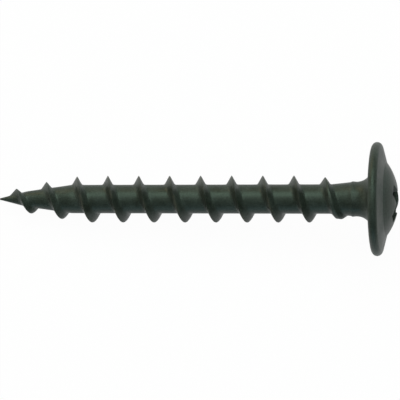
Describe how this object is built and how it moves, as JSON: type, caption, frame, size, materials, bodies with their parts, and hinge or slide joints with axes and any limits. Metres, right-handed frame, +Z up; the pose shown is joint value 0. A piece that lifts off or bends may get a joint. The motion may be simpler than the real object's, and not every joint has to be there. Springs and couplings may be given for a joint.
{
  "type": "drywall screw",
  "caption": "Black phosphate steel screw with a sharp point, coarse right-hand thread, collar, wide round flange head with a low dome, and a cross recess.",
  "frame": {"origin": "middle of the bounding box's base, on the ground that the lying screw rests on", "axes": "+X runs along the screw from the point to the head, as seen from above; the axis itself rises 6.5 degrees towards the head, because the flange is wider than the thread; +Z is up"},
  "size_m": [0.0406, 0.0114, 0.0114],
  "materials": {
    "screw": "black phosphate, matt to satin, on steel"
  },
  "bodies": {
    "root": {"screw": "screw"}
  },
  "joints": []
}
